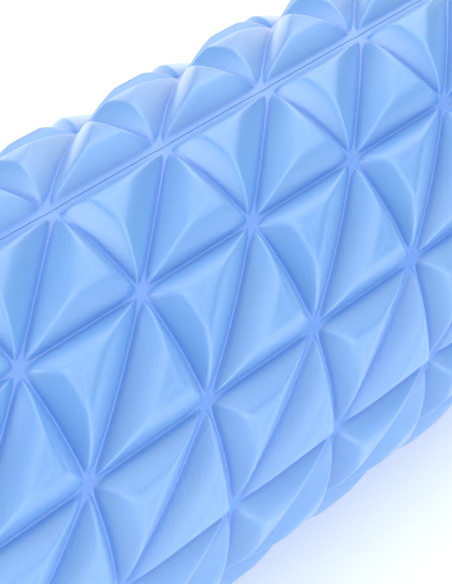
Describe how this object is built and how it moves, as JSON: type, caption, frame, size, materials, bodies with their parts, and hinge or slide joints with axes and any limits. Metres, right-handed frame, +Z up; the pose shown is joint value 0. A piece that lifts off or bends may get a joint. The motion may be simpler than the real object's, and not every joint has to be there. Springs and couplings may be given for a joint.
{
  "type": "foam roller",
  "caption": "Hollow-core massage roller with a thick foam sleeve whose surface is a grid of soft three-sided pyramid pads.",
  "frame": {"origin": "centre of the roller, on its axis and halfway along its length", "axes": "+X along the roller's axis, +Z up through the upper bonded seam, +Y towards the rear sleeve"},
  "size_m": [0.33, 0.1382, 0.1374],
  "materials": {
    "foam": "satin moulded closed-cell EVA foam",
    "core": "extruded ABS, lightly satin"
  },
  "bodies": {
    "root": {"foam_sleeve_front": "foam", "foam_sleeve_rear": "foam", "core_tube": "core"}
  },
  "joints": []
}
